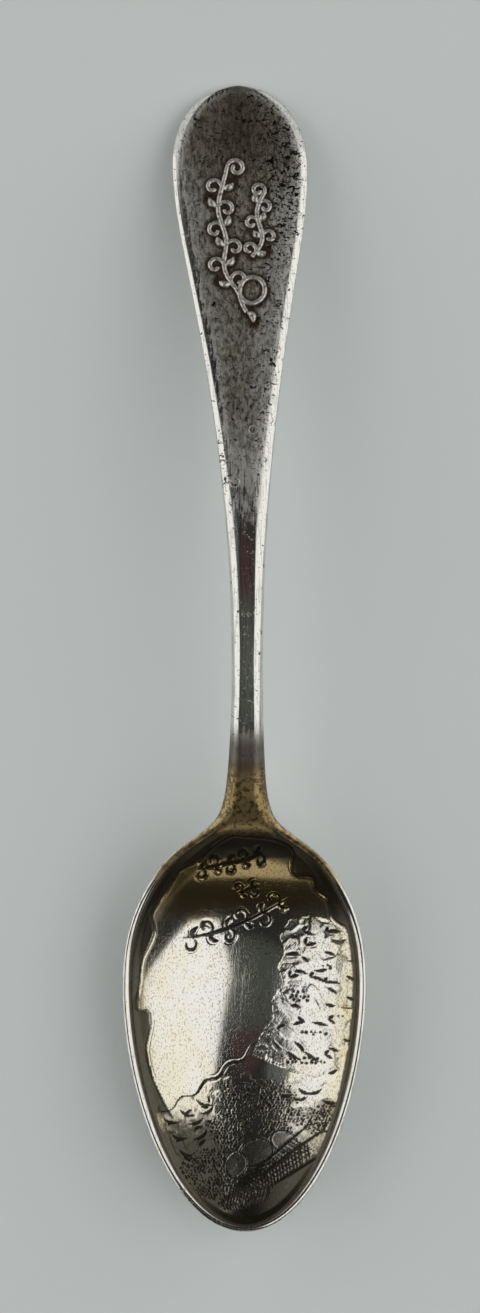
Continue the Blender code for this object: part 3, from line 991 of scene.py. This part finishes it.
BORDER_LEFT = [
    (-1.6, 51.2), (-3.8, 49.8), (-6.3, 47.6), (-8.6, 46.2), (-10.4, 43.4), (-12.2, 40.2), (-11.8, 38.6),
    (-13.2, 35.0), (-13.8, 31.0), (-13.8, 28.2), (-12.6, 28.0), (-12.3, 25.6), (-12.8, 23.4), (-12.0, 19.4),
    (-10.6, 16.4), (-9.4, 14.2),
]
BORDER_RIGHT = [
    (-1.6, 51.2), (1.2, 50.9), (4.2, 50.4), (6.4, 48.6), (6.2, 46.8), (7.4, 45.5), (9.0, 45.4), (9.4, 44.0),
    (11.0, 42.6), (11.6, 40.2), (13.1, 38.9),
]
CRAG = [
    (6.2, 39.6), (9.0, 40.2), (13.4, 38.8), (14.6, 34.0), (14.6, 27.0), (13.4, 20.4), (9.0, 19.2),
    (5.2, 20.6), (1.4, 22.0), (2.4, 24.4), (4.2, 26.8), (4.0, 29.0), (5.4, 31.2), (4.8, 33.4), (5.8, 35.4),
    (5.0, 37.4),
]
SHORE = [(-11.4, 15.6), (-8.0, 17.4), (-4.6, 17.0), (-4.0, 12.0), (-6.6, 8.4), (-8.8, 9.2)]
RIDGE = [
    (-11.2, 15.2), (-9.4, 15.4), (-8.2, 16.8), (-6.4, 17.0), (-5.0, 18.8), (-3.4, 19.2), (-1.8, 21.0),
    (0.0, 21.4), (1.2, 23.2), (2.6, 24.0),
]


def framed():
    """1 inside the engraved border, where the wash was polished, and 0 between it and the rim."""
    right_rim = [(13.1, 38.9), (15.5, 36.0), (15.6, 28.0), (14.4, 16.0), (10.0, 5.0)]
    left_foot = [(0.0, 0.4), (-6.6, 2.6), (-9.4, 14.2)]
    area = np.array(BORDER_RIGHT + right_rim + left_foot + BORDER_LEFT[::-1])
    return inside(area, ACROSS, ALONG)


def engrave_border():
    for line in (BORDER_LEFT, BORDER_RIGHT):
        engrave(smooth_line(line), *BORDER_CUT, pointed=False)


def engrave_vine(points, radius, reach, side=1):
    """A flowing stem with volutes and leaves."""
    stem, tendrils, leaves = vine(points, radius, reach, side)
    engrave(stem, *STEM_CUT)
    for line in tendrils:
        engrave(line, *CURL_CUT)
    for line in leaves:
        engrave(line, *LEAF_CUT)


UPPER_VINE = [(-6.3, 46.6), (-4.0, 46.9), (-1.8, 47.4), (0.4, 47.8), (2.6, 48.8)]
MIDDLE_VINE = [(-0.9, 43.2), (0.6, 43.7), (2.2, 44.4)]
LOWER_VINE = [(-7.8, 37.4), (-5.0, 37.6), (-2.2, 38.4), (0.8, 39.6), (3.8, 41.2), (6.6, 43.0)]


def engrave_flourishes():
    engrave_vine(UPPER_VINE, 0.8, 1.9)
    engrave_vine(MIDDLE_VINE, 0.75, 1.7, -1)
    engrave_vine(LOWER_VINE, 1.05, 2.5)


def chisel_facets(area, spacing, steepness):
    """Cuts an area into small planes that each lean their own way."""
    low, high = area.min(0), area.max(0)
    count = int((high[0] - low[0]) * (high[1] - low[1]) / spacing**2)
    seeds = rng.uniform(low, high, (count, 2))
    lean = rng.normal(0.0, steepness, (count, 2))
    where = inside(area, ACROSS, ALONG)
    places = np.stack([ACROSS[where], ALONG[where] * 1.25], axis=-1)
    offsets = places[:, None, :] - seeds[None] * (1, 1.25)
    owner = (offsets**2).sum(-1).argmin(1)
    mine = offsets[np.arange(len(owner)), owner]
    relief[where] += np.clip((mine * lean[owner]).sum(-1), -FACET_DEPTH, FACET_DEPTH)
    cut[where] = 1.0


def dark_stroke(foot, heading, length, bend):
    """A short deep graver cut with a bowed line."""
    engrave(blade(foot, heading, length, bend), *DARK_CUT)


CRAG_BUSHES = [
    ((7.6, 29.6), (1.6, 0.9)), ((9.6, 25.0), (2.0, 0.5)), ((12.8, 27.2), (0.7, 0.5)),
    ((8.4, 21.2), (3.2, 0.6)), ((3.2, 22.4), (1.5, 0.5)), ((11.2, 33.6), (1.0, 0.4)),
]


def near_bush(place):
    return any(np.hypot(*((place - centre) / (np.array(size) + 0.5))) < 1 for centre, size in CRAG_BUSHES)


def engrave_crag():
    """A steep rock face of chiselled facets, with bright shell cuts, short dark strokes and bushes."""
    area = np.array(CRAG)
    chisel_facets(area, 1.7, 0.085)
    for along in np.arange(20.6, 39.6, 1.6):
        for across in np.arange(1.6, 14.6, 2.4):
            foot = np.array([across, along]) + rng.normal(0, 0.5, 2)
            edge = gilding_half_width(foot[1]) - 0.9
            if not inside(area, foot[0], foot[1]) or abs(foot[0]) > edge or near_bush(foot):
                continue
            heading = rng.uniform(-50, 35)
            if rng.uniform() < 0.75:
                fan(foot, heading + rng.uniform(60, 110), 70.0, rng.uniform(1.3, 2.3), 7)
            dark_stroke(foot, heading, rng.uniform(0.9, 2.2), rng.uniform(-0.12, 0.12))
            if rng.uniform() < 0.3:
                dark_stroke(foot, heading + rng.uniform(50, 80), rng.uniform(0.6, 1.1), 0.1)
    for centre, size in CRAG_BUSHES:
        stipple(centre, size, BOLD_DOTS)


ROCKS = [
    (-9.6, 14.2, 60), (-7.4, 15.2, 70), (-5.2, 16.4, 60), (-8.6, 12.2, 40), (-6.2, 13.4, 60),
    (-4.6, 14.6, 65), (-7.6, 10.2, 30), (-5.6, 11.4, 50),
]
LOW_ROCK = [
    (4.2, 17.6), (5.4, 18.6), (8.0, 19.0), (10.8, 18.8), (13.2, 17.4), (12.6, 15.9), (9.6, 15.4), (6.4, 15.8),
]
LOW_ROCK_CUTS = [(5.8, 17.2, 80), (7.6, 16.6, 95), (9.4, 17.4, 100), (11.2, 16.6, 110), (8.2, 18.0, 85)]
RIDGE_TUFTS = [(-2.6, 17.6), (-1.2, 19.4), (1.0, 20.0), (2.4, 18.6)]


def engrave_shore():
    """The ridge line, the rocks under it and the water's edge."""
    chisel_facets(np.array(SHORE), 1.5, 0.10)
    engrave(smooth_line(RIDGE), *RIDGE_CUT)
    for across, along, angle in ROCKS:
        fan((across, along), angle, 95.0, 1.9, 8)
        dark_stroke((across - 1.0, along), rng.uniform(-25, 35), rng.uniform(1.4, 2.4), -0.15)
        dark_stroke((across - 0.4, along - 0.9), rng.uniform(-40, 60), rng.uniform(0.8, 1.4), 0.1)
    chisel_facets(np.array(LOW_ROCK), 1.5, 0.085)
    for across, along, angle in LOW_ROCK_CUTS:
        fan((across, along), angle, 80.0, 1.6, 7)
        dark_stroke((across - 0.9, along - 0.2), rng.uniform(-30, 30), rng.uniform(1.2, 2.0), -0.12)
    for foot in RIDGE_TUFTS:
        fan(foot, 235.0, 60.0, 1.6, 6)


FOLIAGE = [
    ((2.2, 16.4), (5.4, 2.6)), ((8.6, 14.2), (3.6, 1.3)), ((-1.8, 12.6), (3.0, 2.6)),
    ((-4.8, 8.6), (2.6, 1.7)), ((-2.2, 6.4), (2.2, 1.2)), ((11.0, 14.6), (1.6, 2.2)),
    ((4.2, 12.6), (2.6, 1.2)), ((-7.0, 7.6), (1.9, 1.7)), ((-4.6, 5.2), (2.4, 1.4)),
    ((-1.4, 3.4), (2.4, 1.0)), ((9.6, 13.0), (2.0, 1.2)),
]
BOULDERS = [((1.6, 9.6), 2.3, 1.6, 20), ((5.4, 11.0), 1.7, 1.3, -20), ((-1.0, 8.0), 1.6, 1.2, 60)]


def engrave_foliage():
    """Banks of stippled trees across the lower bowl, with smooth boulders left among them."""
    for centre, size in FOLIAGE:
        stipple(centre, size, FINE_DOTS)
    for centre, wide, tall, tilt in BOULDERS:
        turn = np.linspace(0, 2 * math.pi, 28)[:, None]
        sideways, upright = towards(tilt), towards(tilt + 90.0)
        line = np.array(centre) + wide * np.cos(turn) * sideways + tall * np.sin(turn) * upright
        engrave(line, *BOULDER_CUT, pointed=False)
        groove[inside(line, ACROSS, ALONG)] = 0.35
        relief[inside(line, ACROSS, ALONG)] = 0.02


def hatch(start, stop, angle, length, count):
    """Fine parallel cuts of one length, set side by side between two places."""
    for share in np.linspace(0.0, 1.0, count):
        foot = np.array(start) * (1 - share) + np.array(stop) * share + rng.normal(0, 0.05, 2)
        tail = foot + length * rng.uniform(0.9, 1.1) * towards(angle)
        if max(abs(foot[0]) - gilding_half_width(foot[1]), abs(tail[0]) - gilding_half_width(tail[1])) < -0.7:
            engrave([foot, tail], *HATCH_CUT)


TRUNKS = [((0.8, 5.2), (10.6, 12.8), 0.5), ((3.6, 5.4), (11.2, 10.2), 0.4), ((2.6, 8.2), (8.8, 13.4), 0.35)]


def engrave_bank():
    """Fallen trunks across the near bank, with cross-hatched shade below them."""
    for start, stop, width in TRUNKS:
        start, stop = np.array(start), np.array(stop)
        middle = (start + stop) / 2 + rng.normal(0, 0.15, 2)
        engrave(smooth_line([start, middle, stop]), width, 0.14, 1.0, 0.7)
    hatch((1.2, 3.6), (9.4, 9.8), 152.0, 3.4, 22)
    hatch((0.2, 2.6), (8.6, 8.4), 98.0, 3.0, 22)
    hatch((-3.6, 3.4), (0.6, 7.6), 20.0, 4.2, 12)
    hatch((-2.6, 2.6), (2.6, 3.4), 75.0, 3.0, 13)


def soften_edge(border):
    """Cuts fade out before the edge of the gilding."""
    fade = ease(border, 0.1, 0.6)
    for layer in (relief, groove, cut, shade):
        layer *= fade


def gold_left(border):
    """Most gold is left at the neck and along the rim, and least in the middle of the bowl."""
    neck = ease(ALONG, 37.0, 44.0)
    rim = 0.55 * fade(border, 0.5, 4.0)
    left = 0.18 * ease(-ACROSS, 2.0, 9.0) + 0.22 * fade(ALONG, 15.0, 30.0)
    return np.clip(np.maximum.reduce([neck, rim, left, np.full(ALONG.shape, 0.06)]), 0, 1)


def stained(border):
    """Dark stain outside the engraved border, along the rim, over the lower bowl and between the dots.
    Also darker across the heel.
    """
    before_neck = fade(ALONG, 50.5, 53.5)
    outside = 0.88 * np.where(framed(), 0.0, 1.0) * ease(ALONG, 12.0, 16.0) * before_neck
    # Darker across the heel, short of the neck.
    heel = 0.85 * ease(ALONG, 46.8, 48.6) * before_neck
    rim = fade(border, 0.2, 0.8) * before_neck
    banks = 0.60 * fade(ALONG, 9.0, 20.0) + 0.30 * fade(ALONG, 13.0, 16.0) * ease(-ACROSS, 1.0, 5.0)
    near_bank = 0.85 * ease(0.66 * ACROSS - ALONG, -5.5, -2.5)
    return np.clip(np.maximum.reduce([outside, heel, rim, banks, near_bank, shade]), 0, 1)


def matt_gold():
    """The neck's wash is rubbed matt and brown."""
    return ease(ALONG, 49.5, 53.0)


def stitch(fine, coarse, turned):
    """The narrow wall between a fine edge and a coarser one below it."""
    faces = []
    for i in range(len(coarse) - 1):
        steps = [int(v) for v in fine[i * UNDER_STRIDE : (i + 1) * UNDER_STRIDE + 1]]
        near, far = int(coarse[i]), int(coarse[i + 1])
        wall = [[near, b, a] for a, b in zip(steps[:-1], steps[1:])] + [[near, far, steps[-1]]]
        faces += [face[::-1] for face in wall] if turned else wall
    return faces


def make_gilding():
    border = nearest_on_line(ACROSS, ALONG, gilding_outline())[0]
    engrave_border()
    engrave_crag()
    engrave_shore()
    engrave_foliage()
    engrave_bank()
    engrave_flourishes()
    soften_edge(border)
    rise = ease(border, 0.0, 0.9) * ease(GILDING_END - ALONG, 0.0, 6.0)
    lift = LEAST_LIFT + (GILDING_LIFT - LEAST_LIFT) * rise + relief
    top = upper_face(ALONG, ACROSS, np.maximum(lift, LEAST_LIFT))
    bottom = upper_face(ALONG, ACROSS, 0.004)[::UNDER_STRIDE, ::UNDER_STRIDE]
    upper = np.arange(ALONG.size).reshape(ALONG.shape)
    lower = ALONG.size + np.arange(bottom[..., 0].size).reshape(bottom.shape[:2])
    faces = quads(upper, True) + quads(lower, False)
    faces += stitch(upper[0], lower[0], True) + stitch(upper[-1], lower[-1], False)
    faces += stitch(upper[:, 0], lower[:, 0], False) + stitch(upper[:, -1], lower[:, -1], True)
    points = np.concatenate([top.reshape(-1, 3), bottom.reshape(-1, 3)])
    item = mesh_object("gold_wash", points, faces, worn_gilding())
    hidden = np.zeros(bottom[..., 0].size)
    for name, amounts in (
        ("gold", gold_left(border)), ("stain", stained(border)), ("matt", matt_gold()),
        ("cut", cut), ("groove", groove),
    ):
        paint(item, name, np.concatenate([amounts.ravel(), hidden]))
    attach(item, "root")
    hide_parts("bowl_gilding")


make_camera()
make_world()
make_overhead_light()
make_floor()
bpy.context.scene.view_settings.view_transform = "Standard"
make_body()
make_handle_ornament()
make_gilding()
